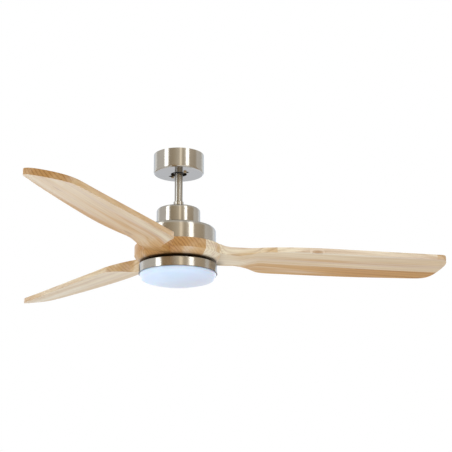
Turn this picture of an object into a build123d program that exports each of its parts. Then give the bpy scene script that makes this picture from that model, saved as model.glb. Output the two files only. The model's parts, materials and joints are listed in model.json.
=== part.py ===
from build123d import *
from math import atan2, cos, degrees, pi, radians, sin, sqrt, tan
import os

# Ceiling fan with a light: three carved wooden blades whose roots make the hub.
# Millimetres. The ceiling is z = 0, the fan hangs down along -Z on the Z axis.
# The ceiling bracket's slots lie on the X axis. Azimuths turn from +X towards +Y.

# ---- outer levels, from the ceiling down ----
DROP = 320.0            # ceiling to the light ring's lower edge
CANOPY_R = 65.7
CANOPY_H = 51.0
CANOPY_T = 1.2
CANOPY_EDGE = 5.0
CANOPY_HOLE_R = 21.0
RING_R = 100.0          # light pan
RING_H = 24.0
RING_T = 1.2
RING_LIP = 0.8          # rolled lip at the light pan's lower edge
RING_LIP_H = 1.2
HUB_GAP = 8.0           # light pan to the blades
HUB_H = 38.0            # thickness of the blade roots
HOUSING_GAP = 2.5       # blades to the still housing
HOUSING_R = 97.2
HOUSING_H = 47.5
HOUSING_T = 1.5
HOUSING_EDGE = 10.0
COVER_R = 56.5
COVER_H = 52.0
COVER_T = 1.2
COVER_EDGE = 7.0
COVER_NECK_R = 16.0
COVER_NECK_H = 10.0

RING_Z = -DROP
PAN_TOP = RING_Z + RING_H
HUB_Z = PAN_TOP + HUB_GAP
HUB_TOP = HUB_Z + HUB_H
HOUSING_Z = HUB_TOP + HOUSING_GAP
HOUSING_TOP = HOUSING_Z + HOUSING_H
COVER_TOP = HOUSING_TOP + COVER_H

# ---- downrod and hanger ball ----
ROD_R = 10.65
ROD_T = 2.0
ROD_TOP = -6.0
ROD_FIT = 0.03          # slip fit on the rod
BALL_R = 25.0
BALL_Z = -28.0
BALL_TOP = -10.0
BALL_PIN_R = 3.0
BALL_PIN_L = 38.0
BALL_PIN_Z = -14.0
BALL_GRUB_Z = -33.0
SEAT_GAP = 0.05         # ball in its seat
SEAT_T = 2.5
SEAT_HIGH_DEG = 18.0        # degrees below the ball's middle
SEAT_LOW_DEG = 42.0
KEY_W = 5.0             # tab that stops the ball turning
KEY_GAP = 0.3
KEY_DEEP = 3.0

# ---- ceiling bracket ----
PLATE_X = 110.0
PLATE_Y = 40.0
PLATE_T = 2.5
SLOT_SPACING = 84.0
SLOT_R = 3.0
SLOT_L = 14.0
LEG_X = 31.5            # outer face of each leg
LEG_Y = 30.0
SEAT_Y = 56.0
SEAT_Z = -44.1
MOUTH_W = 23.0          # side opening that the rod is slid in through
CANOPY_SCREW_AT = 28.0
CANOPY_SCREW_DEG = (-55.0, 125.0)
CANOPY_HEAD_R = 3.9
CANOPY_HEAD_H = 2.4
CANOPY_SCREW_L = 11.0
ENTRY_TURN_DEG = 17.0   # the canopy turns this far once the screw heads are through
ENTRY_W = 8.2
ENTRY_R = 31.5
RECEIVER = (68.0, 21.0, 20.0)
RECEIVER_Y = 30.0
TERMINAL = (12.0, 28.0, 14.0)
TERMINAL_Z = -22.0
EARTH_Z = -12.0

# ---- collar, coupling ----
COLLAR_R = 13.4
COLLAR_H = 10.2
COLLAR_HOLE_DOWN = 4.0
COUPLING_R = 16.0
COUPLING_H = 48.0
COUPLING_FLOOR = 8.0
COUPLING_FLANGE_R = 35.0
COUPLING_FLANGE_T = 4.0
COUPLING_PIN_R = 3.0
COUPLING_PIN_L = 42.0
COUPLING_PIN_UP = 30.0
COTTER_R = 0.8
COTTER_L = 14.0
COTTER_X = 20.5
GRUB_R = 3.0
GRUB_L = 5.0
GRUB_UP = (20.0, 40.0)
BOLT_AT = 24.0
BOLT_R = 2.5
BOLT_HEAD_R = 4.2
BOLT_HEAD_H = 3.2
BOLT_GRIP = 10.0

# ---- motor ----
SHAFT_R = 8.5
SHAFT_BORE = 5.0
SHAFT_FLANGE_R = 30.0
SHAFT_FLANGE_T = 4.0
SHAFT_COLLAR_R = 14.0
SHAFT_COLLAR_H = 3.0
SHAFT_END = 6.0         # length below the pan's top plate
BEARING_R = 16.5
BEARING_H = 12.0
BEARING_RACE_R = 12.0
BEARING_GAP = 0.3
BOSS_R = 22.0
HOUSING_ROOM = 9.2      # housing's outside to the turning shell
SHELL_T = 6.0
LID_T = 3.0
RIM_STEP = 2.0          # shell's edge to the rim's outside
RIM_T = 3.5
RIM_H = 32.0
UPPER_BEARING_UP = 23.0  # above the lower shell's inner face
MAGNETS = 14
MAGNET_T = 4.0
MAGNET_H = 20.0
MAGNET_GAP_DEG = 3.0
AIR_GAP = 0.7
TEETH = 12
TOOTH_W = 8.0
TOOTH_TIP_DEG = 22.0
TOOTH_TIP_T = 2.2
CORE_DEEP = 21.8        # from the tooth tips in to the core's bore
CORE_YOKE = 7.0
CORE_H = 16.0
CORE_UP = 8.0
COIL_W = 15.0
COIL_L = 10.0
COIL_H = 22.0
CARRIER_HUB_R = 15.0
CARRIER_H = 10.0
CARRIER_T = 6.0
DRIVER_IN = 30.0
DRIVER_OUT = 50.0
DRIVER_T = 1.6
CAPACITOR_R = 5.0
CAPACITOR_H = 16.0

# ---- blades: plan points are (radius, across), across positive on the low side ----
BLADE_DEG = (8.07, -111.93, 128.07)
STATION_R = (215.0, 330.0, 508.0, 690.0)
STATION_PITCH_DEG = (9.1, 9.7, 11.1, 13.2)
STATION_UP = (13.4, 11.6, 9.1, 8.4)     # underside's middle over the hub's base
BLADE_T = 12.0
BLADE_SAG = 8.0         # the blade's low edge comes below the hub by less than this
BLADE_CROWN = 3.0
BLADE_HALF = 72.0
HUB_R = 112.0
HUB_BORE = 34.0
HUB_BEVEL = 14.0
NECK_FRONT = 20.0       # low side of the neck
NECK_BACK = -45.0       # high side of the neck
NECK_LIFT = 12.7        # how much the neck's underside rises to its high side
NECK_LIFT_FROM = 12.0
NECK_LIFT_OVER = 56.0
NECK_INSET = 0.3
TURN_AT = 145.0         # radius where the neck starts to turn into the blade
TURN_LATE = 15.0        # this much further out on the low side
TURN_OVER = 70.0
ROOT_RISE = 1.5
ROOT_FALL_AT = 88.0
ROOT_FALL_OVER = 46.0
ROOT_DROP_BACK = 5.5
ROOT_DROP_FRONT = 3.5
THIN_AT_BACK = 180.0    # radius where the top starts down to the thin blade
THIN_AT_FRONT = 148.0
THIN_END = 260.0
FRONT_FILLET = 20.0
BACK_FILLET = 40.0
FILLET_BITE = 0.4
ROOT_OUT = 125.0        # radius where the neck's low side starts
ROOT_IN = 76.0
BACK_EDGE = ((165, -43.6), (190, -45.6), (215, -51.5), (262, -60.0), (330, -66.8),
             (420, -67.8), (508, -65.8))
FRONT_EDGE = ((508, 67.9), (420, 73.9), (330, 78.6), (270, 80.8), (238, 81.3),
              (218, 76.5), (200, 61.5), (185, 45.9), (170, 29.8), (157, 19.6), (145, 17.8))
BLADE_REACH = 711.5     # axis to the tip; the tip's points are (back from the tip, across)
TIP_EDGE = ((111.5, -62.4), (61.5, -60.0), (25.5, -57.6), (9.5, -54.0), (2.5, -43.5),
            (0, -29.5), (2, -10.7), (7, 10), (15, 31.5), (27, 46.5), (44, 53.8),
            (68.5, 57), (111.5, 60))
SKIN_FROM = 30.0        # grid that the upper side and the underside are drawn over
SKIN_SIDE = 110.0
SKIN_STEP = 15.0
SCREW_AT = ((74.0, -38.0), (74.0, 38.0), (48.0, 0.0))
SCREW_R = 2.5
SCREW_HEAD_R = 4.6
SCREW_HEAD_H = 3.0
SCREW_FIT = 0.15
SCREW_L = 46.0
CLAMP_IN = 38.0
CLAMP_OUT = 88.0
CLAMP_T = 2.0

# ---- light kit ----
NUT_R = 13.0
NUT_H = 4.5
PLATE_LED_STEP = 8.0    # all these steps are in from the light pan's outside
PLATE_LED_T = 1.5
PLATE_LED_UP = 12.0
POST_STEP = 14.0
POST_R = 4.0
POST_SCREW_R = 2.0
BOARD_STEP = 21.0
BOARD_T = 1.6
CHIP = (3.5, 2.8, 0.7)
CHIP_RINGS = 3
CHIPS_INSIDE = 8        # chips in the innermost ring
CHIP_STEP = 24.0
CHIP_MARGIN = 9.0
DRIVER = (60.0, 30.0, 8.5)
DRIVER_AT = 50.0
LENS_STEP = 1.9
LENS_H = 28.6           # rim to the lowest point
LENS_ROUND = 15.0       # round of the lens's lower edge
LENS_T = 2.0
LENS_GAP = 0.4
LENS_LIP = 1.0
LENS_COLLAR_STEP = 6.0
LENS_COLLAR_UP = 6.5
LUG_DEG = 12.0
LUG_T = 1.5
LUG_STEP = 1.7
TAB_DEG = 14.0
TAB_STEP = 5.5
TAB_UP = 3.2
TAB_T = 1.5
TAB_GAP = 0.3

PLATE_LED_R = RING_R - PLATE_LED_STEP
POST_AT = RING_R - POST_STEP
BOARD_R = RING_R - BOARD_STEP
LENS_R = RING_R - LENS_STEP
LENS_COLLAR_R = RING_R - LENS_COLLAR_STEP
LUG_OUT = RING_R - LUG_STEP
TAB_IN = RING_R - TAB_STEP

OUT = "parts"
os.makedirs(OUT, exist_ok=True)


def save(name, *solids):
    shape = solids[0] if len(solids) == 1 else Compound(children=list(solids))
    shape.label = name
    export_step(shape, os.path.join(OUT, name + ".step"))


def one(shape):
    solids = shape.solids()
    return solids[0] if len(solids) == 1 else shape


def ring(r_in, r_out, z0, z1):
    return Pos(0, 0, z0) * extrude(Circle(r_out) - Circle(r_in), z1 - z0)


def disc(r, z0, z1):
    return Pos(0, 0, z0) * extrude(Circle(r), z1 - z0)


def at(radius, azimuth, z=0.0):
    return Rot(0, 0, azimuth) * Pos(radius, 0, z)


def spun(points, rounds=()):
    """Revolve an outline of (radius, z) points; rounds gives (point index, radius) pairs."""
    face = make_face(Polyline(*points, close=True))
    for index, radius in rounds:
        spot = Vector(points[index][0], points[index][1], 0)
        corner = face.vertices().sort_by_distance(spot)[0]
        face = fillet(corner, radius)
    return revolve(Plane.XZ * face, Axis.Z)


def arc_wedge(r_in, r_out, half_deg, z0, z1):
    reach = r_out * 1.5
    wide = reach * tan(radians(half_deg))
    wedge = make_face(Polyline((0, 0), (reach, -wide), (reach, wide), close=True))
    return Pos(0, 0, z0) * extrude((Circle(r_out) - Circle(r_in)) & wedge, z1 - z0)


def screw(head_r, head_h, r, length, drive=True):
    """Head below z = 0, shank up +Z."""
    body = disc(head_r, -head_h, 0) + disc(r, 0, length)
    if drive:
        body -= Pos(0, 0, -head_h) * Box(head_r * 1.2, 0.9, head_h)
        body -= Pos(0, 0, -head_h) * Box(0.9, head_r * 1.2, head_h)
    return one(body)


def smooth(x):
    x = min(1.0, max(0.0, x))
    return x * x * (3 - 2 * x)


# ---------------------------------------------------------------- ceiling bracket, canopy

def seat_band(r_in, r_out):
    """Part of a hollow sphere round the ball's centre, below its middle."""
    high = radians(SEAT_HIGH_DEG)
    low = radians(SEAT_LOW_DEG)
    mid = (high + low) / 2
    inner = [(r_in * cos(a), BALL_Z - r_in * sin(a)) for a in (high, mid, low)]
    outer = [(r_out * cos(a), BALL_Z - r_out * sin(a)) for a in (high, mid, low)]
    outline = [ThreePointArc(*inner), Line(inner[2], outer[2]),
               ThreePointArc(*outer), Line(outer[0], inner[0])]
    return revolve(Plane.XZ * make_face(outline), Axis.Z)


def key_tab(r_in, width):
    """Block on the +X side that reaches from the seat band into the ball's groove."""
    drop = radians((SEAT_HIGH_DEG + SEAT_LOW_DEG) / 2)
    reach = BALL_R + SEAT_GAP + SEAT_T * 0.6 - r_in
    middle = r_in + reach / 2
    block = Rot(0, degrees(drop), 0) * Pos(middle, 0, 0) * Box(reach, width, 6.0)
    return Pos(0, 0, BALL_Z) * block


def make_bracket():
    plate = Pos(0, 0, -PLATE_T / 2) * extrude(RectangleRounded(PLATE_X, PLATE_Y, 6),
                                              PLATE_T / 2, both=True)
    for side in (-1, 1):
        plate -= Pos(side * SLOT_SPACING / 2, 0, -PLATE_T) * extrude(
            SlotOverall(SLOT_L, 2 * SLOT_R), PLATE_T)
    seat_top = SEAT_Z + SEAT_T
    frame = plate
    for side in (-1, 1):
        leg_h = -PLATE_T - SEAT_Z
        frame += Pos(side * (LEG_X - SEAT_T / 2), 0, SEAT_Z + leg_h / 2) * Box(
            SEAT_T, LEG_Y, leg_h)
    frame += Pos(0, 0, SEAT_Z) * extrude(RectangleRounded(2 * LEG_X, SEAT_Y, 4), SEAT_T)
    frame -= Pos(0, 0, BALL_Z) * Sphere(BALL_R + SEAT_GAP + SEAT_T / 2)
    frame += seat_band(BALL_R + SEAT_GAP, BALL_R + SEAT_GAP + SEAT_T)
    mouth = Pos(0, SEAT_Y / 2, SEAT_Z) * Box(MOUTH_W, SEAT_Y, 30)
    frame -= mouth
    frame += key_tab(BALL_R - KEY_DEEP, KEY_W)
    for azimuth in CANOPY_SCREW_DEG:
        frame -= at(CANOPY_SCREW_AT, azimuth) * disc(BOLT_R, SEAT_Z - 6, seat_top + 8)
    frame -= Pos(-LEG_X, 0, EARTH_Z) * Rot(0, 90, 0) * Cylinder(2.0, 12)
    return one(frame)


def make_canopy():
    wall = CANOPY_T
    low = -CANOPY_H
    shell = spun([(CANOPY_HOLE_R, low), (CANOPY_R, low), (CANOPY_R, 0), (CANOPY_R - wall, 0),
                  (CANOPY_R - wall, low + wall), (CANOPY_HOLE_R, low + wall)],
                 ((1, CANOPY_EDGE), (4, CANOPY_EDGE - wall)))
    low_cut = Pos(0, 0, low - 1) * arc_wedge(
        CANOPY_SCREW_AT - BOLT_R - 0.2, CANOPY_SCREW_AT + BOLT_R + 0.2,
        ENTRY_TURN_DEG / 2, 0, wall + 2)
    for azimuth in CANOPY_SCREW_DEG:
        entry = azimuth + ENTRY_TURN_DEG
        reach = ENTRY_R - CANOPY_HOLE_R + 4
        shell -= at(ENTRY_R - reach / 2, entry, low) * Box(reach, ENTRY_W, 6)
        shell -= Rot(0, 0, azimuth + ENTRY_TURN_DEG / 2) * low_cut
        shell -= at(CANOPY_SCREW_AT, azimuth) * disc(BOLT_R + 0.2, low - 1, low + 3)
    return one(shell)


def make_canopy_screw(azimuth):
    body = screw(CANOPY_HEAD_R, CANOPY_HEAD_H, BOLT_R, CANOPY_SCREW_L)
    return at(CANOPY_SCREW_AT, azimuth, -CANOPY_H) * body


# ---------------------------------------------------------------- ball, rod, collar

def make_ball():
    ball = Pos(0, 0, BALL_Z) * Sphere(BALL_R)
    ball &= Pos(0, 0, BALL_TOP - 2 * BALL_R) * Box(4 * BALL_R, 4 * BALL_R, 4 * BALL_R)
    ball -= Pos(0, 0, BALL_Z) * Cylinder(ROD_R + ROD_FIT, 4 * BALL_R)
    slot_h = BALL_TOP - BALL_PIN_Z + BALL_PIN_R
    ball -= Pos(0, 0, BALL_PIN_Z - BALL_PIN_R + slot_h / 2) * Box(
        BALL_PIN_L + 8, 2 * BALL_PIN_R + 0.1, slot_h)
    groove_in = BALL_R - KEY_DEEP - KEY_GAP
    groove = Rot(90, 0, 0) * extrude(Circle(BALL_R + 3) - Circle(groove_in),
                                     KEY_W / 2 + KEY_GAP, both=True)
    ball -= (Pos(0, 0, BALL_Z) * groove) & (
        Pos(BALL_R, 0, BALL_Z) * Box(2 * BALL_R, 2 * BALL_R, 4 * BALL_R))
    ball -= at(0, -90, BALL_GRUB_Z) * Rot(0, 90, 0) * extrude(Circle(GRUB_R), 40)
    return one(ball)


def make_ball_grub():
    face = Pos(0, 0, BALL_GRUB_Z) * Rot(0, 0, -90) * Rot(0, 90, 0)
    grub = face * Pos(0, 0, ROD_R) * extrude(Circle(GRUB_R) - RegularPolygon(1.5, 6), 9.0)
    return one(grub)


def make_rod():
    low = HOUSING_TOP + COUPLING_FLOOR
    rod = ring(ROD_R - ROD_T, ROD_R, low, ROD_TOP)
    rod -= Pos(0, 0, BALL_PIN_Z) * Rot(0, 90, 0) * Cylinder(BALL_PIN_R, 60)
    rod -= Pos(0, 0, HOUSING_TOP + COUPLING_PIN_UP) * Rot(0, 90, 0) * Cylinder(
        COUPLING_PIN_R, 60)
    return one(rod)


def make_collar():
    low = COVER_TOP + COVER_NECK_H + 0.3
    collar = spun([(ROD_R + ROD_FIT, low), (COLLAR_R, low), (COLLAR_R, low + COLLAR_H),
                   (ROD_R + ROD_FIT, low + COLLAR_H)], ((2, 1.0),))
    hole_z = low + COLLAR_H - COLLAR_HOLE_DOWN
    collar -= at(0, -88, hole_z) * Rot(0, 90, 0) * extrude(Circle(1.5), 20)
    return one(collar)


def make_collar_grub():
    hole_z = COVER_TOP + COVER_NECK_H + 0.3 + COLLAR_H - COLLAR_HOLE_DOWN
    place = at(ROD_R, -88, hole_z) * Rot(0, 90, 0)
    return one(place * extrude(Circle(1.5), 2.0))


# ---------------------------------------------------------------- cover, coupling

def make_cover():
    base = HOUSING_TOP
    top = COVER_TOP
    wall = COVER_T
    neck = top + COVER_NECK_H
    hole = ROD_R + 0.6
    return one(spun([(COVER_R - wall, base), (COVER_R, base), (COVER_R, top),
                     (COVER_NECK_R, top), (COVER_NECK_R, neck), (hole, neck),
                     (hole, neck - 2 * wall), (COVER_NECK_R - wall, neck - 2 * wall),
                     (COVER_NECK_R - wall, top - wall), (COVER_R - wall, top - wall)],
                    ((2, COVER_EDGE), (9, COVER_EDGE - wall), (3, 1.5), (4, 1.2))))


def make_coupling():
    base = HOUSING_TOP
    body = disc(COUPLING_R, base, base + COUPLING_H)
    body += disc(COUPLING_FLANGE_R, base, base + COUPLING_FLANGE_T)
    body -= disc(ROD_R + ROD_FIT, base + COUPLING_FLOOR, base + COUPLING_H)
    body -= disc(SHAFT_BORE, base, base + COUPLING_FLOOR)
    body -= Pos(0, 0, base + COUPLING_PIN_UP) * Rot(0, 90, 0) * Cylinder(COUPLING_PIN_R, 60)
    for up in GRUB_UP:
        body -= at(0, 90, base + up) * Rot(0, 90, 0) * extrude(Circle(GRUB_R), 30)
    for k in range(4):
        body -= at(BOLT_AT, 45 + 90 * k) * disc(BOLT_R, base, base + COUPLING_FLANGE_T)
    return one(body)


def make_pin(radius, length, z):
    return one(Pos(0, 0, z) * Rot(0, 90, 0) * Cylinder(radius, length))


def make_clevis_pin():
    z = HOUSING_TOP + COUPLING_PIN_UP
    pin = Pos(2.0, 0, z) * Rot(0, 90, 0) * Cylinder(COUPLING_PIN_R, COUPLING_PIN_L)
    head_x = 2.0 - COUPLING_PIN_L / 2
    pin += Pos(head_x, 0, z) * Rot(0, 90, 0) * Cylinder(COUPLING_PIN_R + 1.8, 2.0)
    pin -= Pos(COTTER_X, 0, z) * Cylinder(COTTER_R, 20)
    return one(pin)


def make_cotter():
    z = HOUSING_TOP + COUPLING_PIN_UP
    leg = Pos(COTTER_X, 0, z) * Cylinder(COTTER_R, COTTER_L)
    eye = Pos(COTTER_X, 0, z + COTTER_L / 2 + 2.2) * Rot(90, 0, 0) * Torus(2.6, COTTER_R)
    return one(leg + eye)


def make_grub(up):
    place = at(ROD_R, 90, HOUSING_TOP + up) * Rot(0, 90, 0)
    return one(place * extrude(Circle(GRUB_R) - RegularPolygon(1.5, 6), GRUB_L))


def make_coupling_bolt(k):
    top = HOUSING_TOP + COUPLING_FLANGE_T
    place = at(BOLT_AT, 45 + 90 * k, top) * Rot(180, 0, 0)
    head = extrude(RegularPolygon(BOLT_HEAD_R, 6), -BOLT_HEAD_H)
    return one(place * (head + disc(BOLT_R, 0, BOLT_GRIP)))


# ---------------------------------------------------------------- motor

SHELL_TOP = HUB_TOP + SHELL_T
SHELL_R = HOUSING_R - HOUSING_ROOM
RIM_R = SHELL_R - RIM_STEP
RIM_IN = RIM_R - RIM_T
UPPER_BEARING_Z = SHELL_TOP + UPPER_BEARING_UP
LID_Z = UPPER_BEARING_Z + BEARING_H - LID_T
FLANGE_TOP = HOUSING_TOP - HOUSING_T
CORE_OUT = RIM_IN - MAGNET_T - AIR_GAP
CORE_IN = CORE_OUT - CORE_DEEP


def make_housing():
    wall = HOUSING_T
    body = spun([(SHAFT_BORE + 4, HOUSING_TOP), (SHAFT_BORE + 4, HOUSING_TOP - wall),
                 (HOUSING_R - wall, HOUSING_TOP - wall), (HOUSING_R - wall, HOUSING_Z),
                 (HOUSING_R, HOUSING_Z), (HOUSING_R, HOUSING_TOP)],
                ((5, HOUSING_EDGE), (2, HOUSING_EDGE - wall)))
    for k in range(4):
        body -= at(BOLT_AT, 45 + 90 * k) * disc(BOLT_R, HOUSING_TOP - 3, HOUSING_TOP)
    return one(body)


def make_shaft():
    low = PAN_TOP - RING_T - SHAFT_END
    shaft = disc(SHAFT_R, low, FLANGE_TOP)
    shaft += disc(SHAFT_FLANGE_R, FLANGE_TOP - SHAFT_FLANGE_T, FLANGE_TOP)
    shaft += disc(SHAFT_COLLAR_R, PAN_TOP, PAN_TOP + SHAFT_COLLAR_H)
    shaft -= disc(SHAFT_BORE, low, FLANGE_TOP)
    for k in range(4):
        shaft -= at(BOLT_AT, 45 + 90 * k) * disc(BOLT_R, FLANGE_TOP - 5, FLANGE_TOP)
    return one(shaft)


def make_lower_shell():
    shell = ring(SHAFT_R + 4.5, SHELL_R, HUB_TOP, SHELL_TOP)
    shell += ring(BEARING_R, BOSS_R, SHELL_TOP, SHELL_TOP + BEARING_H)
    shell += ring(RIM_IN, RIM_R, SHELL_TOP, SHELL_TOP + RIM_H)
    for blade in BLADE_DEG:
        for radius, azimuth in SCREW_AT:
            shell -= at(radius, blade + azimuth) * disc(SCREW_R, HUB_TOP, SHELL_TOP)
    return one(shell)


def make_lid():
    top = LID_Z + LID_T
    lid = ring(BOSS_R - 1, RIM_R, LID_Z, top)
    lid += ring(BEARING_R, BOSS_R, UPPER_BEARING_Z, top)
    for k in range(6):
        lid -= at(50, 60 * k) * disc(9, LID_Z, top)
    for k in range(3):
        lid -= at(RIM_R - RIM_T / 2, 20 + 120 * k) * disc(1.0, LID_Z, top)
    return one(lid)


def make_lid_screw(k):
    top = LID_Z + LID_T
    place = at(RIM_R - RIM_T / 2, 20 + 120 * k, top) * Rot(180, 0, 0)
    return one(place * screw(1.7, 1.2, 1.0, LID_T, False))


def make_magnet(k):
    half = 180 / MAGNETS - MAGNET_GAP_DEG / 2
    z0 = SHELL_TOP + 6
    wedge = arc_wedge(RIM_IN - MAGNET_T, RIM_IN, half, z0, z0 + MAGNET_H)
    return one(Rot(0, 0, 360 / MAGNETS * k) * wedge)


def make_core():
    z0 = SHELL_TOP + CORE_UP
    profile = Circle(CORE_IN + CORE_YOKE) - Circle(CORE_IN)
    tip_in = CORE_OUT - TOOTH_TIP_T
    core = Pos(0, 0, z0) * extrude(profile, CORE_H)
    length = tip_in - CORE_IN - CORE_YOKE + 2
    for k in range(TEETH):
        turn = Rot(0, 0, 360 / TEETH * k)
        middle = CORE_IN + CORE_YOKE - 1 + length / 2
        core += turn * Pos(middle, 0, z0 + CORE_H / 2) * Box(length, TOOTH_W, CORE_H)
        core += turn * arc_wedge(tip_in, CORE_OUT, TOOTH_TIP_DEG / 2, z0, z0 + CORE_H)
    return one(core)


def make_coil(k):
    z = SHELL_TOP + CORE_UP + CORE_H / 2
    radius = CORE_IN + CORE_YOKE + 0.8 + COIL_L / 2
    coil = Box(COIL_L, COIL_W, COIL_H) - Box(COIL_L + 2, TOOTH_W, CORE_H)
    outer = coil.edges().filter_by(Axis.X).sort_by_distance((0, 0, 0))[-4:]
    coil = fillet(outer, 3.0)
    return one(Rot(0, 0, 360 / TEETH * k) * Pos(radius, 0, z) * coil)


def make_carrier():
    low = SHELL_TOP + BEARING_H + 0.5
    mid = SHELL_TOP + CORE_UP + CORE_H / 2
    body = ring(SHAFT_R, CARRIER_HUB_R - 3.2, low, UPPER_BEARING_Z - 0.5)
    body += ring(SHAFT_R, CORE_IN, mid - CARRIER_T / 2, mid + CARRIER_T / 2)
    for k in range(6):
        body -= at(35, 60 * k, mid) * Cylinder(11, CARRIER_T)
    return one(body)


def make_bearing(z, inner):
    if inner:
        return one(ring(SHAFT_R, BEARING_RACE_R, z, z + BEARING_H))
    return one(ring(BEARING_RACE_R + BEARING_GAP, BEARING_R, z, z + BEARING_H))


def make_driver_board():
    z0 = HOUSING_TOP + COUPLING_FLANGE_T
    return one(ring(DRIVER_IN, DRIVER_OUT, z0, z0 + DRIVER_T))


def make_capacitor(k):
    z0 = HOUSING_TOP + COUPLING_FLANGE_T + DRIVER_T
    place = at((DRIVER_IN + DRIVER_OUT) / 2 + 2, 80 + 20 * k)
    can = place * disc(CAPACITOR_R, z0, z0 + CAPACITOR_H)
    return one(can)


# ---------------------------------------------------------------- blades

def along(radius, values):
    """Smooth value at a radius through the blade's four stations."""
    total = 0.0
    for this, value in zip(STATION_R, values):
        share = value
        for other in STATION_R:
            if other != this:
                share *= (radius - other) / (this - other)
        total += share
    return total


def blade_plane(u, v):
    return along(u, STATION_UP) - v * tan(radians(along(u, STATION_PITCH_DEG)))


def underside(u, v):
    """The neck's hollowed underside, which twists into the pitched blade."""
    rise = min(1.04, max(0.0, (NECK_LIFT_FROM - v) / NECK_LIFT_OVER))
    neck = NECK_INSET + NECK_LIFT * rise ** 1.5
    late = smooth((v - NECK_BACK) / (TURN_OVER + 5))
    share = smooth((u - TURN_AT - TURN_LATE * late) / (TURN_OVER - TURN_LATE / 2 * late))
    return neck + (blade_plane(u, v) - neck) * share


def upper_side(u, v):
    """The root's level top, which falls to the thin blade later on its high side."""
    front = smooth((v + NECK_FRONT) / (NECK_FRONT * 1.5))
    fall = ROOT_DROP_BACK + (ROOT_DROP_FRONT - ROOT_DROP_BACK) * front
    root = HUB_H + ROOT_RISE - fall * smooth((u - ROOT_FALL_AT) / ROOT_FALL_OVER)
    crown = BLADE_CROWN * max(0.0, 1 - (v / BLADE_HALF) ** 2)
    thin = blade_plane(u, v) + BLADE_T + crown
    start = THIN_AT_BACK + (THIN_AT_FRONT - THIN_AT_BACK) * front
    left = min(1.0, max(0.0, (THIN_END - u) / (THIN_END - start)))
    return root + (thin - root) * (1 - left ** 2.2)


def skin(height):
    """Smooth sheet over the blade's area from a height formula."""
    rows = []
    for i in range(int((BLADE_REACH - SKIN_FROM) / SKIN_STEP) + 2):
        u = SKIN_FROM + SKIN_STEP * i
        row = [SKIN_STEP * j - SKIN_SIDE for j in range(int(2 * SKIN_SIDE / SKIN_STEP) + 2)]
        rows.append([(u, v, height(u, v)) for v in row])
    return Face.make_surface_from_array_of_points(rows, tol=0.02)


def neck_outline():
    """Plan of the neck and blade: fillet, high edge, tip, low edge, and back into the hub."""
    back_y = NECK_BACK - BACK_FILLET
    back_x = sqrt((HUB_R + BACK_FILLET - FILLET_BITE) ** 2 - back_y ** 2)
    arc = [(back_x + BACK_FILLET * cos(radians(a)), back_y + BACK_FILLET * sin(radians(a)))
           for a in (150, 120, 90)]
    start = (ROOT_OUT, NECK_FRONT)
    tip = [(BLADE_REACH - back, across) for back, across in TIP_EDGE]
    rim = Spline(arc[2], *BACK_EDGE, *tip, *FRONT_EDGE, start)
    inner = Polyline(start, (ROOT_IN, NECK_FRONT), (ROOT_IN, -NECK_FRONT),
                     (arc[0][0] * 0.8, arc[0][1] * 0.8), arc[0])
    return make_face([ThreePointArc(*arc), rim, inner])


def hub_outline():
    """Plan of one third of the hub with the low side's fillet into the neck."""
    cy = NECK_FRONT + FRONT_FILLET - FILLET_BITE
    cx = sqrt((HUB_R + FRONT_FILLET) ** 2 - cy ** 2)
    to_hub = 180 + degrees(atan2(cy, cx))
    arc = [(cx + FRONT_FILLET * cos(radians(a)), cy + FRONT_FILLET * sin(radians(a)))
           for a in (270, (270 + to_hub) / 2, to_hub)]
    join = degrees(atan2(arc[2][1], arc[2][0]))

    def on(r, deg):
        return (r * cos(radians(deg)), r * sin(radians(deg)))

    edges = [Line(on(HUB_BORE, -60), on(HUB_R, -60)),
             ThreePointArc(on(HUB_R, -60), on(HUB_R, -30), on(HUB_R, 0)),
             Line(on(HUB_R, 0), (cx, 0)), Line((cx, 0), arc[0]),
             ThreePointArc(*arc),
             ThreePointArc(arc[2], on(HUB_R, (join + 60) / 2), on(HUB_R, 60)),
             Line(on(HUB_R, 60), on(HUB_BORE, 60)),
             ThreePointArc(on(HUB_BORE, 60), on(HUB_BORE, 0), on(HUB_BORE, -60))]
    return make_face(edges)


def make_blade():
    neck = Pos(0, 0, -BLADE_SAG) * extrude(neck_outline(), HUB_H + BLADE_SAG)
    neck -= extrude(skin(underside), 80, dir=(0, 0, -1))
    wide = 30.0
    bevel = spun([(0, 0), (HUB_R - HUB_BEVEL, 0), (HUB_R + wide - HUB_BEVEL, wide),
                  (HUB_R + wide - HUB_BEVEL, HUB_H), (0, HUB_H)])
    sector = extrude(hub_outline(), HUB_H) & bevel
    blade = sector + neck
    blade -= extrude(skin(upper_side), 80, dir=(0, 0, 1))
    for radius, azimuth in SCREW_AT:
        blade -= at(radius, azimuth) * disc(SCREW_R + SCREW_FIT, -1, HUB_H + 1)
    return one(Pos(0, 0, HUB_Z) * blade)


def make_clamp():
    plate = ring(CLAMP_IN, CLAMP_OUT, HUB_Z - CLAMP_T, HUB_Z)
    for blade in BLADE_DEG:
        for radius, azimuth in SCREW_AT:
            plate -= at(radius, blade + azimuth) * disc(SCREW_R + SCREW_FIT, HUB_Z - 3, HUB_Z)
    return one(plate)


def make_blade_screws():
    screws = []
    for blade in BLADE_DEG:
        for radius, azimuth in SCREW_AT:
            place = at(radius, blade + azimuth, HUB_Z - CLAMP_T)
            screws.append(one(place * screw(SCREW_HEAD_R, SCREW_HEAD_H, SCREW_R, SCREW_L)))
    return screws


# ---------------------------------------------------------------- light kit

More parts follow.
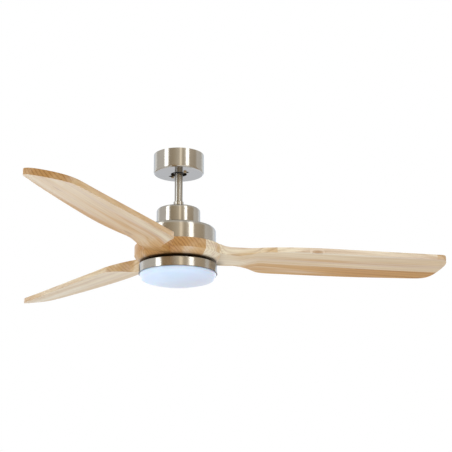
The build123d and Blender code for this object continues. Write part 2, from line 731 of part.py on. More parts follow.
def make_pan():
    pan = spun([(SHAFT_R, PAN_TOP), (SHAFT_R, PAN_TOP - RING_T),
                (RING_R - RING_T, PAN_TOP - RING_T), (RING_R - RING_T, RING_Z),
                (RING_R + RING_LIP, RING_Z), (RING_R + RING_LIP, RING_Z + RING_LIP_H / 2),
                (RING_R, RING_Z + RING_LIP_H), (RING_R, PAN_TOP)], ((7, 2.0),))
    for k in range(3):
        tab = arc_wedge(TAB_IN, RING_R - RING_T / 2, TAB_DEG / 2, 0, TAB_T)
        pan += Rot(0, 0, 30 + 120 * k) * Pos(0, 0, RING_Z + TAB_UP) * tab
        low = RING_Z + PLATE_LED_UP + PLATE_LED_T
        pan += at(POST_AT, 90 + 120 * k) * disc(POST_R, low, PAN_TOP - RING_T / 2)
        pan -= at(POST_AT, 90 + 120 * k) * disc(POST_SCREW_R, low - 1, low + 7)
    return one(pan)


def make_nut():
    top = PAN_TOP - RING_T
    nut = extrude(RegularPolygon(NUT_R, 6) - Circle(SHAFT_R), NUT_H)
    return one(Pos(0, 0, top - NUT_H) * nut)


def make_led_plate():
    z0 = RING_Z + PLATE_LED_UP
    plate = disc(PLATE_LED_R, z0, z0 + PLATE_LED_T)
    for k in range(3):
        plate -= at(POST_AT, 90 + 120 * k) * disc(POST_SCREW_R, z0, z0 + PLATE_LED_T)
    return one(plate)


def make_led_screw(k):
    place = at(POST_AT, 90 + 120 * k, RING_Z + PLATE_LED_UP)
    return place * screw(3.6, 2.2, POST_SCREW_R, 8.0)


def make_led_board():
    z1 = RING_Z + PLATE_LED_UP
    return one(disc(BOARD_R, z1 - BOARD_T, z1))


def make_chips():
    z = RING_Z + PLATE_LED_UP - BOARD_T - CHIP[2] / 2
    chips = []
    for lap in range(CHIP_RINGS):
        count = CHIPS_INSIDE * (CHIP_RINGS - lap)
        radius = BOARD_R - CHIP_MARGIN - CHIP_STEP * lap
        for k in range(count):
            chips.append(one(at(radius, 360 / count * k, z) * Box(*CHIP)))
    return chips


def make_led_driver():
    z0 = RING_Z + PLATE_LED_UP + PLATE_LED_T
    return one(Pos(0, DRIVER_AT, z0 + DRIVER[2] / 2) * Box(*DRIVER))


def lens_lines(radius, rim, lowest, corner, inner_r):
    """Half profile from the axis out: shallow dome, round lower edge, upright rim."""
    def wide(a):
        return corner + (radius - corner) / cos(a)

    lip = rim - LENS_LIP
    low, high = 0.1, 1.5
    for _ in range(40):
        lean = (low + high) / 2
        depth = wide(lean) - (wide(lean) - corner) * sin(lean)
        low, high = (lean, high) if depth > lip - lowest else (low, lean)
    dome = wide(lean)
    centre = lowest + dome
    joint = (dome * cos(lean), centre - dome * sin(lean))
    half = (pi / 2 + lean) / 2
    arc = ThreePointArc((0, lowest), (dome * cos(half), centre - dome * sin(half)), joint)
    middle = (radius - corner, lip)
    bend = ThreePointArc(joint, (middle[0] + corner * cos(lean / 2),
                                 middle[1] - corner * sin(lean / 2)), (radius, lip))
    return [arc, bend, Line((radius, lip), (radius, inner_r))]


def make_diffuser():
    rim_z = RING_Z - LENS_GAP
    top = RING_Z + LENS_COLLAR_UP
    outer_r = LENS_COLLAR_R
    inner_r = outer_r - LENS_T
    outer = lens_lines(LENS_R, rim_z, rim_z - LENS_H, LENS_ROUND, rim_z)
    inside = lens_lines(inner_r, rim_z, rim_z - LENS_H + LENS_T, LENS_ROUND - LENS_T, top)
    rims = [Polyline((LENS_R, rim_z), (outer_r, rim_z), (outer_r, top), (inner_r, top)),
            Line((0, rim_z - LENS_H), (0, rim_z - LENS_H + LENS_T))]
    lens = revolve(Plane.XZ * make_face(outer + inside + rims), Axis.Z)
    for k in range(3):
        lug = arc_wedge(outer_r - 1, LUG_OUT, LUG_DEG / 2, 0, LUG_T)
        lens += Rot(0, 0, 30 + 120 * k) * Pos(0, 0, RING_Z + TAB_UP + TAB_T + TAB_GAP) * lug
    return one(lens)


def main():
    save("hanger_bracket", make_bracket())
    save("canopy", make_canopy())
    save("canopy_screws", *[make_canopy_screw(a) for a in CANOPY_SCREW_DEG])
    low = -CANOPY_H + CANOPY_T
    save("receiver", one(Pos(0, RECEIVER_Y + RECEIVER[1] / 2, low + RECEIVER[2] / 2)
                         * Box(*RECEIVER)))
    save("terminal_block", one(Pos(LEG_X + TERMINAL[0] / 2, 0, TERMINAL_Z) * Box(*TERMINAL)))
    save("earth_screw", one(Pos(-LEG_X, 0, EARTH_Z) * Rot(0, 90, 0) * screw(3.6, 2.4, 2.0, 6)))
    save("hanger_ball", make_ball())
    save("ball_pin", make_pin(BALL_PIN_R, BALL_PIN_L, BALL_PIN_Z))
    save("ball_set_screw", make_ball_grub())
    save("downrod", make_rod())
    save("rod_collar", make_collar())
    save("collar_set_screw", make_collar_grub())
    save("coupling_cover", make_cover())
    save("motor_coupling", make_coupling())
    save("coupling_pin", make_clevis_pin())
    save("cotter_clip", make_cotter())
    save("coupling_set_screws", *[make_grub(up) for up in GRUB_UP])
    save("coupling_bolts", *[make_coupling_bolt(k) for k in range(4)])
    save("motor_housing", make_housing())
    save("motor_shaft", make_shaft())
    save("stator_carrier", make_carrier())
    save("stator_core", make_core())
    save("stator_coils", *[make_coil(k) for k in range(TEETH)])
    save("driver_board", make_driver_board())
    save("driver_capacitors", *[make_capacitor(k) for k in range(3)])
    bearings = (SHELL_TOP, UPPER_BEARING_Z)
    save("bearing_inner_rings", *[make_bearing(z, True) for z in bearings])
    save("bearing_outer_rings", *[make_bearing(z, False) for z in bearings])
    save("rotor_lower_shell", make_lower_shell())
    save("rotor_upper_shell", make_lid())
    save("rotor_shell_screws", *[make_lid_screw(k) for k in range(3)])
    save("rotor_magnets", *[make_magnet(k) for k in range(MAGNETS)])
    blade = make_blade()
    for number, azimuth in enumerate(BLADE_DEG, 1):
        save("blade_%d" % number, one(Rot(0, 0, azimuth) * blade))
    save("blade_clamp_ring", make_clamp())
    save("blade_screws", *make_blade_screws())
    save("light_pan", make_pan())
    save("light_pan_nut", make_nut())
    save("led_plate", make_led_plate())
    save("led_plate_screws", *[one(make_led_screw(k)) for k in range(3)])
    save("led_board", make_led_board())
    save("led_chips", *make_chips())
    save("led_driver", make_led_driver())
    save("diffuser", make_diffuser())


main()
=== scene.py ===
"""Looks of the ceiling fan with light: studio, camera and a node material for every piece."""

import json
from math import cos, pi, radians, sin

import bpy
from mathutils import Matrix, Vector

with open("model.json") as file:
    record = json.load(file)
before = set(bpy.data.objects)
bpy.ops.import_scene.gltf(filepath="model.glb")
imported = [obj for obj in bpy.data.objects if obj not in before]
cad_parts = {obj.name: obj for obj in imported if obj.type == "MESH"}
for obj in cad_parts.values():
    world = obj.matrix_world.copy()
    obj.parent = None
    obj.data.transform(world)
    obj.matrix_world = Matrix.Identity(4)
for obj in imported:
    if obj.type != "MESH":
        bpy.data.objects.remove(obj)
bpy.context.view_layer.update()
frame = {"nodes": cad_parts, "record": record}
scene = bpy.context.scene

# camera: where it stands, which way it looks, and its focal length in widths of the picture
CAMERA_AT = Vector((0, -2.73786, -0.96862))
CAMERA_YAW = 0.0449809
CAMERA_PITCH = 0.276618
CAMERA_ROLL = -0.003933
FOCAL_WIDTHS = 1100 / 452
SENSOR = 36

# directions that the three blades leave the hub in, in degrees, and the middle of the hub
BLADE_AZIMUTH = {"blade_1": 8.07, "blade_2": -111.93, "blade_3": 128.07}
HUB_MIDDLE = Vector((0, 0, -0.27))


# ------------------------------------------------------------------ node helpers

class Nodes:
    """Short names for building the nodes of one material, or of the world."""

    def __init__(self, owner, output="ShaderNodeOutputMaterial"):
        owner.use_nodes = True
        self.owner = owner
        self.tree = owner.node_tree
        self.tree.nodes.clear()
        self.out = self.add(output)

    def add(self, kind, **settings):
        node = self.tree.nodes.new(kind)
        for key, value in settings.items():
            setattr(node, key, value)
        return node

    def put(self, socket, value):
        """Links the socket to another one, or sets its value; a colour may leave out its alpha."""
        if isinstance(value, bpy.types.NodeSocket):
            self.tree.links.new(value, socket)
        elif socket.type == "RGBA" and len(value) == 3:
            socket.default_value = (*value, 1)
        else:
            socket.default_value = value

    # numbers

    def math(self, operation, a, b=0.0, c=0.0):
        node = self.add("ShaderNodeMath", operation=operation)
        for socket, value in zip(node.inputs, (a, b, c)):
            self.put(socket, value)
        return node.outputs[0]

    def span(self, value, low, high, to_low=0.0, to_high=1.0):
        """value's range low to high carried smoothly onto another range."""
        node = self.add("ShaderNodeMapRange", interpolation_type="SMOOTHSTEP")
        for socket, number in zip(node.inputs, (value, low, high, to_low, to_high)):
            self.put(socket, number)
        return node.outputs[0]

    def reach(self, a, b):
        """Distance from a centre, from the two offsets to it."""
        squares = [self.math("MULTIPLY", offset, offset) for offset in (a, b)]
        return self.math("SQRT", self.math("ADD", *squares))

    def noise(self, vector, scale, detail, rough=0.5):
        node = self.add("ShaderNodeTexNoise")
        self.put(node.inputs["Vector"], vector)
        self.put(node.inputs["Scale"], scale)
        self.put(node.inputs["Detail"], detail)
        self.put(node.inputs["Roughness"], rough)
        return node.outputs["Fac"]

    # places and directions

    def vector(self, operation, a, b=(0, 0, 0)):
        node = self.add("ShaderNodeVectorMath", operation=operation)
        self.put(node.inputs[0], a)
        self.put(node.inputs[1], b)
        return node.outputs["Value" if operation == "LENGTH" else "Vector"]

    def joined(self, x=0.0, y=0.0, z=0.0):
        node = self.add("ShaderNodeCombineXYZ")
        for socket, value in zip(node.inputs, (x, y, z)):
            self.put(socket, value)
        return node.outputs[0]

    def split(self, vector):
        node = self.add("ShaderNodeSeparateXYZ")
        self.put(node.inputs[0], vector)
        return node.outputs

    def turned(self, vector, degrees):
        """vector turned about the Z axis."""
        node = self.add("ShaderNodeVectorRotate", rotation_type="Z_AXIS")
        self.put(node.inputs["Vector"], vector)
        self.put(node.inputs["Angle"], radians(degrees))
        return node.outputs[0]

    def place(self, turn=0.0, centre=(0, 0, 0)):
        """The piece's own coordinates, about a centre, turned back by an angle."""
        source = self.add("ShaderNodeTexCoord").outputs["Object"]
        return self.turned(self.vector("SUBTRACT", source, centre), -turn)

    def facing(self):
        """The way the surface looks, in the piece's own directions."""
        return self.add("ShaderNodeTexCoord").outputs["Normal"]

    # colours and shaders

    def ramp(self, fac, stops):
        """Tone read off between stops of a place and a tone; a tone is a colour or a grey level."""
        node = self.add("ShaderNodeValToRGB")
        points = node.color_ramp.elements
        while len(points) < len(stops):
            points.new(0.5)
        for point, (where, tone) in zip(points, stops):
            point.position = where
            point.color = (*tone, 1) if isinstance(tone, tuple) else (tone, tone, tone, 1)
        self.put(node.inputs["Fac"], fac)
        return node.outputs["Color"]

    def mix(self, fac, a, b, mode="MIX"):
        node = self.add("ShaderNodeMix", data_type="RGBA", blend_type=mode)
        self.put(node.inputs["Factor"], fac)
        self.put(node.inputs[6], a)
        self.put(node.inputs[7], b)
        return node.outputs[2]

    def bump(self, height, strength, distance):
        node = self.add("ShaderNodeBump")
        self.put(node.inputs["Height"], height)
        self.put(node.inputs["Strength"], strength)
        self.put(node.inputs["Distance"], distance)
        return node.outputs[0]

    def shader(self, kind, **values):
        """A shader; values holds its sockets' names, with _ for each space."""
        node = self.add("ShaderNode" + kind)
        for name, value in values.items():
            self.put(node.inputs[name.replace("_", " ")], value)
        return node.outputs[0]

    def blend(self, fac, a, b):
        """Shader a, giving way to shader b as fac goes from 0 to 1."""
        node = self.add("ShaderNodeMixShader")
        for socket, value in zip(node.inputs, (fac, a, b)):
            self.put(socket, value)
        return node.outputs[0]

    def show(self, shader):
        self.put(self.out.inputs["Surface"], shader)
        return self.owner

    def surface(self, colour, rough, normal, **extra):
        return self.show(self.shader("BsdfPrincipled", Base_Color=colour, Roughness=rough, Normal=normal, **extra))


def times(colour, factor):
    return tuple(min(1, channel * factor) for channel in colour)


# ------------------------------------------------------------------ metal and plastic

NICKEL = (0.42, 0.385, 0.33)
# painted shade: the rod's nickel is darker than the spun cups'
SHADED_ROD_NICKEL = (0.35, 0.325, 0.285)
NICKEL_PAINTED_LIGHT = (0.66, 0.63, 0.60)    # painted light: faces that look down are paler, standing for the bright floor they mirror
NICKEL_ROUGH = 0.25
BRUSH_MARKS = 1500.0                 # scale of the noise that makes the marks
BRUSH_STRAY = 0.03                   # how fast a mark wanders off its level round the piece
BRUSH_LEAN = 0.05                    # how far the marks tip the surface up and down
FINE_GRAIN = 600.0
FINEST_GRAIN = 1500.0
LENS_TONES = ((0.72, 0.80, 0.91), (0.78, 0.86, 0.96))
# painted shade: a greyer patch just off the lens's middle
LENS_PAINTED_SHADE = (0.66, 0.65, 0.70)
LENS_SHADE_AT = (0.04, 0.02, 0)    # its middle, and the distances over which it fades
LENS_SHADE_FADE = (0.03, 0.14)


def turned_metal(name, colour):
    """Nickel brushed round the Z axis: reflections stay crisp round the piece and smear up and down. Faces that
    look down are painted paler, painted light for the bright floor they mirror.
    """
    n = Nodes(bpy.data.materials.new(name))
    spot = n.place()
    x, y, z = n.split(spot)
    level = n.joined(n.math("MULTIPLY", x, BRUSH_STRAY), n.math("MULTIPLY", y, BRUSH_STRAY), z)
    marks = n.noise(level, BRUSH_MARKS, 3)
    cloud = n.noise(spot, 14, 3)
    tone = n.mix(n.span(cloud, 0.3, 0.7), times(colour, 0.95), times(colour, 1.04))
    tone = n.mix(n.span(marks, 0.35, 0.65, 0, 0.10), tone, times(colour, 0.75))
    # painted light: faces that look down turn paler and glossier
    below = n.span(n.math("MULTIPLY", n.split(n.facing())[2], -1.0), 0.8, 0.95)
    tone = n.mix(below, tone, NICKEL_PAINTED_LIGHT)
    gloss = n.span(cloud, 0.3, 0.7, NICKEL_ROUGH - 0.01, NICKEL_ROUGH + 0.01)
    gloss = n.math("MULTIPLY_ADD", below, -NICKEL_ROUGH / 2, gloss)
    lean = n.joined(z=n.math("MULTIPLY", n.math("SUBTRACT", marks, 0.5), 2 * BRUSH_LEAN))
    normal = n.vector("NORMALIZE", n.vector("ADD", n.add("ShaderNodeNewGeometry").outputs["Normal"], lean))
    round_z = n.add("ShaderNodeTangent", direction_type="RADIAL", axis="Z").outputs[0]
    return n.surface(tone, gloss, normal, Metallic=1.0, Specular_Tint=(0.50, 0.54, 0.60),
                     Tangent=round_z, Anisotropic=1.0, Anisotropic_Rotation=0.25)


def cast_metal(name, colour, rough):
    """Cast or stamped metal with a fine even grain and cloudy tone."""
    n = Nodes(bpy.data.materials.new(name))
    spot = n.place()
    grain = n.noise(spot, FINE_GRAIN, 4, 0.6)
    cloud = n.noise(spot, 30, 3)
    tone = n.mix(n.span(cloud, 0.3, 0.7), times(colour, 0.85), colour)
    tone = n.mix(n.span(grain, 0.35, 0.7, 0, 0.25), tone, times(colour, 0.6))
    gloss = n.span(grain, 0.3, 0.7, rough - 0.07, rough + 0.1)
    return n.surface(tone, gloss, n.bump(grain, 0.3, 0.00005), Metallic=1.0)


def plastic(name, colour, rough, **extra):
    """Moulded plastic or coated sheet: spark-eroded texture and faint tone drift."""
    n = Nodes(bpy.data.materials.new(name))
    spot = n.place()
    grain = n.noise(spot, FINEST_GRAIN, 2, 0.6)
    cloud = n.noise(spot, 18, 2)
    tone = n.mix(n.span(cloud, 0.3, 0.7), times(colour, 0.9), colour)
    gloss = n.span(grain, 0.3, 0.7, rough - 0.06, rough + 0.08)
    return n.surface(tone, gloss, n.bump(grain, 0.25, 0.00003), **extra)


def opal(name):
    """Opal acrylic lens, unlit: bluish white, greyer about its middle with painted shade, soft translucency."""
    n = Nodes(bpy.data.materials.new(name))
    spot = n.place()
    tone = n.mix(n.span(n.noise(spot, 9, 3), 0.3, 0.7), *LENS_TONES)
    # painted shade: greyer towards a point just off the lens's middle
    x, y, _ = n.split(n.place(centre=LENS_SHADE_AT))
    tone = n.mix(n.span(n.reach(x, y), *LENS_SHADE_FADE, 1.0, 0.0), tone, LENS_PAINTED_SHADE)
    gloss = n.span(n.noise(spot, 700, 2), 0.3, 0.7, 0.28, 0.36)
    return n.surface(tone, gloss, n.bump(n.noise(spot, 900, 2), 0.1, 0.00002),
                     Subsurface_Weight=0.25, Subsurface_Scale=0.01)


# ------------------------------------------------------------------ wood

# Places in a blade are metres along it, across it and up, from the hub's middle. Each blade is glued
# from staves. A stave has its lower limit across, the centre of its growth rings across and up,
# and its tones at the root, the middle and the tip, from 0, pale, to 1, deep. The deeper root tones are partly
# painted shade, darker towards the hub.
STAVES = {
    "blade_1": ((-1, -0.20, -0.05, -0.2, -0.3, -0.1),
                (-0.058, 0.10, 0.07, -0.1, 0.28, 0.32),
                (0.004, -0.10, 0.06, 0.35, 0.5, 0.5),
                (0.016, 0.13, 0.10, 0.45, 0.8, 1.3)),
    "blade_2": ((-1, -0.18, 0.08, 0.85, 0.62, 0.52),
                (-0.05, 0.13, 0.09, 0.98, 0.57, 0.42),
                (0.03, -0.05, -0.06, 0.80, 0.56, 0.5),
                (0.047, -0.03, -0.05, 0.62, 0.45, 0.45),
                (0.085, -0.02, -0.05, 0.58, 0.5, 0.6)),
    "blade_3": ((-1, -0.16, 0.09, 0.8, 0.4, 0.3),
                (-0.03, 0.13, 0.10, 0.7, 0.3, 0.2),
                (0.03, -0.06, 0.08, 0.8, 0.35, 0.25),
                (0.074, 0.15, 0.04, 0.8, 0.35, 0.25)),
}
# middle and half sizes of each knot
KNOTS = {
    "blade_1": (((0.352, -0.067, 0.006), (0.026, 0.012, 0.010)),
                ((0.143, -0.044, -0.004), (0.035, 0.004, 0.003)),
                ((0.50, 0.018, -0.016), (0.06, 0.006, 0.010))),
    "blade_2": (((0.245, -0.03, 0.0), (0.05, 0.012, 0.02)),
                ((0.62, -0.02, -0.01), (0.04, 0.008, 0.02))),
    "blade_3": (((0.55, 0.075, 0.0), (0.02, 0.008, 0.008)),),
}
ROOT_TO_MIDDLE = (0.11, 0.19)        # where the root's tone gives way to the middle's
MIDDLE_TO_TIP = (0.30, 0.62)
YEARS_PER_METRE = 150.0
RING_SWAY = 0.012                    # how far the rings wander
YEARS_ROUND_KNOT = 2.2               # how far a knot pushes the rings aside
LATE_WOOD = ((0.0, 0.9), (0.16, 0.0), (0.62, 0.1), (0.94, 1.0))    # how dark a year is, from spring to spring
WOOD_TONES = ((0.0, (0.94, 0.78, 0.54)), (0.35, (0.77, 0.535, 0.29)),
              (0.7, (0.64, 0.365, 0.14)), (1.0, (0.56, 0.28, 0.08)))
BLUSH_TONE = (0.66, 0.43, 0.30)
LATE_TONE_PALE = (0.46, 0.23, 0.09)
LATE_TONE_DEEP = (0.34, 0.13, 0.03)
KNOT_TONE = (0.42, 0.19, 0.06)
FIBRE_TONE = (0.44, 0.265, 0.105)
PORE_TONE = (0.34, 0.18, 0.08)
LACQUER_HAZE_AND_SHEEN_TONE = (0.69, 0.60, 0.46)     # milky veil on the broad faces: partly the lacquer's haze, partly painted sheen
SHADE_TONE = (0.08, 0.03, 0.005)     # painted shade on the hub's lower inner edge, round the gap
SHADE_UP = (-0.021, -0.013)          # it fades over these heights, and over these radii
SHADE_OUT = (0.105, 0.125)


def stave_traits(n, across, staves):
    """Ring centre and tones of the stave that a point lies in."""
    traits = list(staves[0][1:])
    for limit, *values in staves[1:]:
        past = n.math("GREATER_THAN", across, limit)
        traits = [n.math("MULTIPLY_ADD", past, n.math("SUBTRACT", value, trait), trait)
                  for value, trait in zip(values, traits)]
    return traits


def knot_depth(n, spot, knots):
    """1 in the middle of a knot, falling to 0 at its border."""
    depth = 0.0
    for middle, half in knots:
        apart = n.vector("MULTIPLY", n.vector("SUBTRACT", spot, middle), tuple(1 / size for size in half))
        depth = n.math("ADD", depth, n.span(n.vector("LENGTH", apart), 0.0, 1.0, 1.0, 0.0))
    return depth


def wood(name, azimuth, staves, knots):
    """Lacquered pale wood of a blade: staves with growth rings, fibres, pores and knots, with painted sheen on the
    broad faces and painted shade towards the roots and on the hub's lower inner edge.
    """
    n = Nodes(bpy.data.materials.new(name))
    spot = n.place(turn=azimuth, centre=HUB_MIDDLE)
    u, v, w = n.split(spot)
    along, _, upward = n.split(n.turned(n.facing(), -azimuth))
    cut = n.math("ABSOLUTE", along)
    shift = azimuth / 10             # so that no blade has another one's figure
    base = n.vector("ADD", spot, (shift, shift * 1.7, shift * 0.6))

    def figure(stretch, detail, rough=0.5, scale=1.0):
        return n.noise(n.vector("MULTIPLY", base, stretch), scale, detail, rough)

    def end_grain(most):
        return n.span(cut, 0.45, 0.95, 0.0, most)

    centre_v, centre_w, at_root, at_middle, at_tip = stave_traits(n, v, staves)
    # root tones partly painted shade: darker towards the hub
    share = n.span(u, *ROOT_TO_MIDDLE, at_root, at_middle)
    share = n.span(u, *MIDDLE_TO_TIP, share, at_tip)
    share = n.math("ADD", share, end_grain(0.55))
    depth = n.math("ADD", share, n.math("MULTIPLY", n.math("SUBTRACT", figure((1.5, 30, 30), 3), 0.5), 1.6))

    knot = knot_depth(n, spot, knots)
    sway = n.math("MULTIPLY", n.math("SUBTRACT", figure((1.1, 5, 5), 2), 0.5), RING_SWAY)
    ring = n.reach(n.math("SUBTRACT", v, centre_v), n.math("SUBTRACT", w, centre_w))
    years = n.math("MULTIPLY", n.math("ADD", ring, sway), YEARS_PER_METRE)
    years = n.math("MULTIPLY_ADD", knot, YEARS_ROUND_KNOT, years)
    late = n.ramp(n.math("FRACT", years), LATE_WOOD)
    strong = n.span(figure((2.2, 55, 55), 2), 0.35, 0.7, 0.09, 0.48)
    strong = n.math("ADD", strong, end_grain(0.3))
    strong = n.math("ADD", strong, n.span(depth, 0.5, 1.0, 0.0, 0.22))

    tone = n.ramp(depth, WOOD_TONES)
    blush = n.span(figure((1.1, 40, 40), 2, scale=1.3), 0.45, 0.75, 0, 0.65)
    tone = n.mix(n.math("MULTIPLY", n.span(depth, 0.4, 0.9, 1.0, 0.2), blush), tone, BLUSH_TONE)
    late_tone = n.mix(n.span(depth, 0.4, 1.0), LATE_TONE_PALE, LATE_TONE_DEEP)
    tone = n.mix(n.math("MULTIPLY", late, strong), tone, late_tone)
    tone = n.mix(n.span(knot, 0.2, 0.9, 0, 0.7), tone, KNOT_TONE)
    fibre = figure((7, 380, 380), 5, 0.62)
    tone = n.mix(n.span(fibre, 0.42, 0.7, 0, 0.28), tone, FIBRE_TONE)
    tone = n.mix(n.span(figure((14, 900, 900), 2), 0.6, 0.75, 0, 0.3), tone, PORE_TONE)
    # partly lacquer haze, partly painted sheen: broad faces turn paler and milkier
    broad_face = n.span(n.math("ABSOLUTE", upward), 0.5, 0.95, 0.0, 0.3)
    tone = n.mix(n.math("MULTIPLY", broad_face, n.span(depth, 0.45, 0.8, 1.0, 0.0)), tone, LACQUER_HAZE_AND_SHEEN_TONE)
    # painted shade: darker towards the hub's lower inner edge, round the gap
    low = n.span(w, *SHADE_UP, 0.85, 0.0)
    inner = n.span(n.reach(u, v), *SHADE_OUT, 1.0, 0.0)
    tone = n.mix(n.math("MULTIPLY", low, inner), tone, SHADE_TONE)
    return n.surface(tone, n.span(fibre, 0.3, 0.7, 0.38, 0.55), n.bump(fibre, 0.1, 0.00005),
                     Specular_IOR_Level=0.25, Coat_Weight=0.06, Coat_Roughness=0.3)


# ------------------------------------------------------------------ each piece's finish

FINISHES = {
    "brushed_nickel": turned_metal("brushed_nickel", NICKEL),
    "shaded_rod_nickel": turned_metal("shaded_rod_nickel", SHADED_ROD_NICKEL),
    "black_nylon": plastic("black_nylon", (0.012, 0.012, 0.013), 0.5),
    # black steel; its brown tone and brown-tinted reflection are painted shade, for the deep shade in the gap
    # under the hub
    "black_steel": plastic("black_steel", (0.018, 0.009, 0.003), 0.6, Specular_IOR_Level=0.2,
                           Specular_Tint=(1.0, 0.6, 0.25)),
    "zinc_steel": cast_metal("zinc_steel", (0.62, 0.62, 0.60), 0.35),
    "brass_screw": cast_metal("brass_screw", (0.50, 0.38, 0.22), 0.35),
    "green_screw": cast_metal("green_screw", (0.05, 0.30, 0.10), 0.35),
    "terminal_plastic": plastic("terminal_plastic", (0.75, 0.75, 0.70), 0.4),
    "cast_aluminium": cast_metal("cast_aluminium", (0.55, 0.55, 0.56), 0.5),
    "stator_steel": cast_metal("stator_steel", (0.30, 0.30, 0.32), 0.45),
    "coil_copper": cast_metal("coil_copper", (0.70, 0.30, 0.13), 0.3),
    "magnet_grey": cast_metal("magnet_grey", (0.16, 0.16, 0.18), 0.4),
    "board_green": plastic("board_green", (0.02, 0.16, 0.07), 0.35),
    "capacitor_black": plastic("capacitor_black", (0.02, 0.02, 0.03), 0.3),
    "board_white": plastic("board_white", (0.80, 0.80, 0.78), 0.35),
    "led_phosphor": plastic("led_phosphor", (0.85, 0.68, 0.12), 0.4),
    "driver_case": plastic("driver_case", (0.70, 0.70, 0.70), 0.4),
    "opal_acrylic": opal("opal_acrylic"),
}
# pieces whose finish is not the one of their material slot: the ring in the gap is black steel browned with
# painted shade, and the rod's nickel is a little darker than the spun cups', painted shade
OTHER_FINISH = {"blade_clamp_ring": "black_steel", "downrod": "shaded_rod_nickel"}

for part in frame["record"]["subparts"]:
    name = part["node"]
    if name in BLADE_AZIMUTH:
        finish = wood("wood_" + name, BLADE_AZIMUTH[name], STAVES[name], KNOTS[name])
    else:
        finish = FINISHES[OTHER_FINISH.get(name, part["material_slot"])]
    slots = frame["nodes"][name].data.materials
    slots.clear()
    slots.append(finish)


# ------------------------------------------------------------------ lamps

LAMP_DISTANCE = 2.4
BACK_DISTANCE = 2.8
STRIP_HEIGHT = 2.6
STRIP_COLOUR = (0.90, 1.0, 1.11)
BACK_COLOUR = (0.90, 0.98, 1.08)
LOW_COLOUR = (0.86, 0.93, 1.06)


def around(azimuth, distance, height):
    """A place round the fan; azimuth is counted from straight in front towards the right."""
    return Vector((distance * sin(radians(azimuth)), -distance * cos(radians(azimuth)), height))


def soft_box(name, place, width, height, level, colour):
    """Flat soft box that faces the hub; its face is level times as bright as plain white."""
    data = bpy.data.lights.new(name, "AREA")
    data.shape = "RECTANGLE"
    data.size = width
    data.size_y = height
    data.energy = level * pi * width * height
    data.color = colour
    light = bpy.data.objects.new(name, data)
    scene.collection.objects.link(light)
    light.location = place
    light.rotation_euler = (HUB_MIDDLE - light.location).to_track_quat("-Z", "Y").to_euler()
    light.visible_camera = False


soft_box("strip_left", around(-58.2, LAMP_DISTANCE, 0.45), 0.76, STRIP_HEIGHT, 3.2, STRIP_COLOUR)
soft_box("strip_right", around(39.3, LAMP_DISTANCE, 0.45), 0.60, STRIP_HEIGHT, 3.4, STRIP_COLOUR)
soft_box("back_left", around(-145, BACK_DISTANCE, 0.3), 2.4, 2.4, 0.95, BACK_COLOUR)
soft_box("back_right", around(150, BACK_DISTANCE, 0.3), 2.2, 2.4, 0.95, BACK_COLOUR)
soft_box("below", around(0, 0.4, -2.5), 2.6, 2.6, 1.5, LOW_COLOUR)


# ------------------------------------------------------------------ card that the metal mirrors

CARD_FROM = -50                      # azimuths of its ends
CARD_TO = 85
CARD_DISTANCE = 2.6
CARD_BOTTOM = -1.4
CARD_TOP = 2.4
CARD_COLUMNS = 24
# from left to right, as shares of its width: warm and dark, a bright band, a dip, then paler again
CARD_TONES = (
    (0.0, (0.60, 0.54, 0.44)), (0.13, (0.67, 0.61, 0.50)), (0.23, (0.78, 0.73, 0.62)),
    (0.33, (0.97, 0.95, 0.88)), (0.385, (1.12, 1.10, 1.02)), (0.42, (2.1, 2.1, 2.02)),
    (0.455, (1.8, 1.8, 1.72)), (0.485, (0.92, 0.88, 0.79)), (0.535, (0.86, 0.82, 0.72)),
    (0.58, (1.2, 1.2, 1.18)), (0.70, (0.92, 0.87, 0.80)), (0.86, (0.83, 0.78, 0.71)),
    (1.0, (0.72, 0.68, 0.60)))
CARD_LOW = (0.34, 0.80)              # below these heights it gets browner
CARD_BROWN = (0.81, 0.67, 0.48)


def card_paint():
    n = Nodes(bpy.data.materials.new("card_paint"))
    x, y, z = n.split(n.place())
    turn = n.math("ARCTAN2", x, n.math("MULTIPLY", y, -1.0))
    where = n.math("DIVIDE", n.math("SUBTRACT", turn, radians(CARD_FROM)), radians(CARD_TO - CARD_FROM))
    tone = n.ramp(where, CARD_TONES)
    brown = n.mix(1.0, tone, CARD_BROWN, "MULTIPLY")
    return n.show(n.shader("Emission", Color=n.mix(n.span(z, *CARD_LOW, 1.0, 0.0), tone, brown)))


def sheet(name, corners, faces, paint):
    """A surface of the studio."""
    mesh = bpy.data.meshes.new(name)
    mesh.from_pydata(corners, [], faces)
    mesh.materials.append(paint)
    thing = bpy.data.objects.new(name, mesh)
    scene.collection.objects.link(thing)
    return thing


edges = [CARD_FROM + (CARD_TO - CARD_FROM) * k / CARD_COLUMNS for k in range(CARD_COLUMNS + 1)]
card = sheet("card",
             [around(edge, CARD_DISTANCE, height) for edge in edges for height in (CARD_BOTTOM, CARD_TOP)],
             [(2 * k, 2 * k + 2, 2 * k + 3, 2 * k + 1) for k in range(CARD_COLUMNS)], card_paint())
card.visible_camera = False
card.visible_diffuse = False
card.visible_transmission = False
card.visible_shadow = False


# ------------------------------------------------------------------ world and floor

FLOOR_Z = -2.6
FLOOR_HALF = 9.0
FLOOR_SEEN = (0.95, 0.97, 0.99)
FLOOR_PALER = 0.6                    # share of that tone that the camera sees


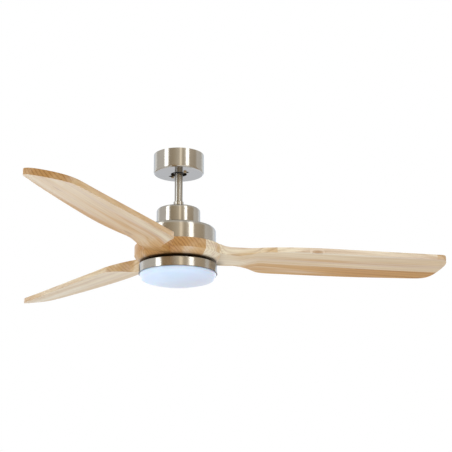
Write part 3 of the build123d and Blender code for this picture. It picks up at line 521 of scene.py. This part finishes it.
def white_world():
    """Soft fill on the fan; plain white to the camera, to mirrors and through glass."""
    n = Nodes(bpy.data.worlds.new("studio"), "ShaderNodeOutputWorld")
    ray = n.add("ShaderNodeLightPath").outputs
    mirrored = n.math("MAXIMUM", ray["Is Glossy Ray"], ray["Is Transmission Ray"])
    seen = n.math("MAXIMUM", mirrored, ray["Is Camera Ray"])
    soft = n.shader("Background", Color=(0.93, 0.96, 1.0), Strength=0.6)
    white = n.shader("Background", Color=(1, 1, 1), Strength=1.0)
    return n.show(n.blend(seen, soft, white))


def floor_paint():
    """Pale paint, paler to the camera, near white to mirrors and through glass, clear from below."""
    n = Nodes(bpy.data.materials.new("floor_paint"))
    tone = n.mix(n.noise(n.place(), 3, 3), (0.80, 0.84, 0.89), (0.84, 0.88, 0.92))
    ray = n.add("ShaderNodeLightPath").outputs
    bright = n.shader("Emission", Color=FLOOR_SEEN)
    floor = n.blend(n.math("MAXIMUM", ray["Is Glossy Ray"], ray["Is Transmission Ray"]),
                    n.shader("BsdfPrincipled", Base_Color=tone, Roughness=0.7), bright)
    floor = n.blend(n.math("MULTIPLY", ray["Is Camera Ray"], FLOOR_PALER), floor, bright)
    below = n.add("ShaderNodeNewGeometry").outputs["Backfacing"]
    return n.show(n.blend(below, floor, n.shader("BsdfTransparent")))


scene.world = white_world()
floor = sheet("floor",
              [(x * FLOOR_HALF, y * FLOOR_HALF, FLOOR_Z) for x, y in ((-1, -1), (1, -1), (1, 1), (-1, 1))],
              [(0, 1, 2, 3)], floor_paint())


# ------------------------------------------------------------------ camera

data = bpy.data.cameras.new("camera")
data.sensor_width = SENSOR
data.lens = SENSOR * FOCAL_WIDTHS
data.clip_end = 50
camera = bpy.data.objects.new("camera", data)
scene.collection.objects.link(camera)
forward = Vector((sin(CAMERA_YAW) * cos(CAMERA_PITCH), cos(CAMERA_YAW) * cos(CAMERA_PITCH), sin(CAMERA_PITCH)))
right = Vector((cos(CAMERA_YAW), -sin(CAMERA_YAW), 0))
up = right.cross(forward)
right, up = right * cos(CAMERA_ROLL) + up * sin(CAMERA_ROLL), up * cos(CAMERA_ROLL) - right * sin(CAMERA_ROLL)
camera.matrix_world = Matrix.Translation(CAMERA_AT) @ Matrix((right, up, -forward)).transposed().to_4x4()
scene.camera = camera

scene.view_settings.view_transform = "Standard"

bpy.context.view_layer.update()
